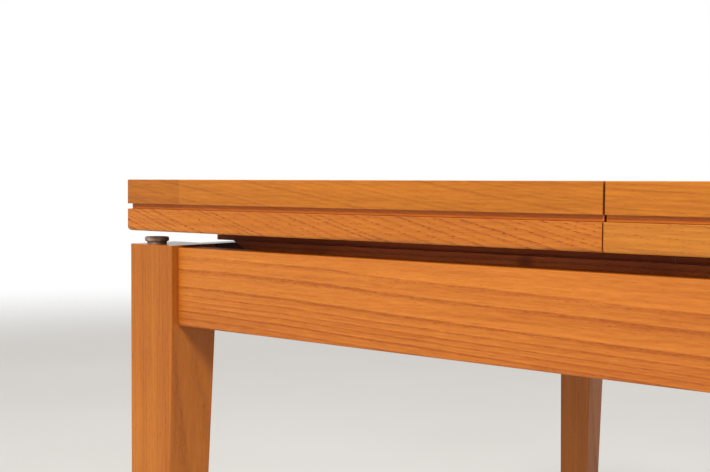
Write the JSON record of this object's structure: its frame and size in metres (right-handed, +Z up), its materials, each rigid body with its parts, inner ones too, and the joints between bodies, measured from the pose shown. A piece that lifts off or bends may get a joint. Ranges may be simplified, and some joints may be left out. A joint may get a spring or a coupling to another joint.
{
  "type": "extending dining table",
  "caption": "Square oak dining table with fold-over upper leaves hinged at the ends, pull-out loper bars, recessed aprons and tapered legs.",
  "frame": {"origin": "on the floor, under the middle of the closed table", "axes": "+X along the direction in which the table extends, +Y from front to back, +Z up"},
  "size_m": [0.8544, 0.85, 0.725],
  "materials": {
    "oak_top": "satin lacquer",
    "oak_frame": "satin lacquer",
    "loper_paint": "dark red-brown semi-gloss paint",
    "hinge_brass": "brushed",
    "screw_steel": "zinc plated",
    "button_plastic": "moulded",
    "glide_plastic": "moulded",
    "dowel_beech": "raw"
  },
  "bodies": {
    "flap_left": {"hinge_flap_left": "hinge_brass", "hinge_flap_left_screws": "screw_steel", "leaf_upper_left": "oak_top"},
    "flap_right": {"hinge_flap_right": "hinge_brass", "hinge_flap_right_screws": "screw_steel", "leaf_upper_right": "oak_top"},
    "frame": {"apron_back": "oak_frame", "apron_front": "oak_frame", "apron_left": "oak_frame", "apron_right": "oak_frame", "corner_block_back_left": "oak_frame", "corner_block_back_right": "oak_frame", "corner_block_front_left": "oak_frame", "corner_block_front_right": "oak_frame", "corner_block_screws": "screw_steel", "cross_rail_dowels": "dowel_beech", "cross_rail_left": "oak_frame", "cross_rail_middle": "oak_frame", "cross_rail_right": "oak_frame", "foot_glides": "glide_plastic", "glide_buttons": "button_plastic", "hinge_base_left": "hinge_brass", "hinge_base_left_screws": "screw_steel", "hinge_base_right": "hinge_brass", "hinge_base_right_screws": "screw_steel", "hinge_pins_left": "hinge_brass", "hinge_pins_right": "hinge_brass", "leaf_lower_left": "oak_top", "leaf_lower_right": "oak_top", "leaf_screws": "screw_steel", "leg_back_left": "oak_frame", "leg_back_right": "oak_frame", "leg_front_left": "oak_frame", "leg_front_right": "oak_frame", "loper_guide_screws": "screw_steel", "loper_stop_back": "loper_paint", "loper_stop_front": "loper_paint", "loper_stop_screws": "screw_steel", "packer_back": "oak_frame", "packer_front": "oak_frame", "runner_back": "oak_frame", "runner_front": "oak_frame", "runner_screws": "screw_steel"},
    "loper_front_left": {"loper_front_left": "loper_paint"},
    "loper_back_left": {"loper_back_left": "loper_paint"},
    "loper_front_right": {"loper_front_right": "loper_paint"},
    "loper_back_right": {"loper_back_right": "loper_paint"}
  },
  "joints": [
    {"name": "flap_left_fold", "type": "hinge", "parent": "frame", "child": "flap_left", "pos_m": [-0.42525, 0, 0.70075], "axis": [0, -1, 0], "range_deg": [0, 180]},
    {"name": "flap_right_fold", "type": "hinge", "parent": "frame", "child": "flap_right", "pos_m": [0.42525, 0, 0.70075], "axis": [0, 1, 0], "range_deg": [0, 180]},
    {"name": "loper_front_left_slide", "type": "slide", "parent": "frame", "child": "loper_front_left", "axis": [-1, 0, 0], "range_m": [0, 0.24]},
    {"name": "loper_back_left_slide", "type": "slide", "parent": "frame", "child": "loper_back_left", "axis": [-1, 0, 0], "range_m": [0, 0.24]},
    {"name": "loper_front_right_slide", "type": "slide", "parent": "frame", "child": "loper_front_right", "axis": [1, 0, 0], "range_m": [0, 0.24]},
    {"name": "loper_back_right_slide", "type": "slide", "parent": "frame", "child": "loper_back_right", "axis": [1, 0, 0], "range_m": [0, 0.24]}
  ]
}
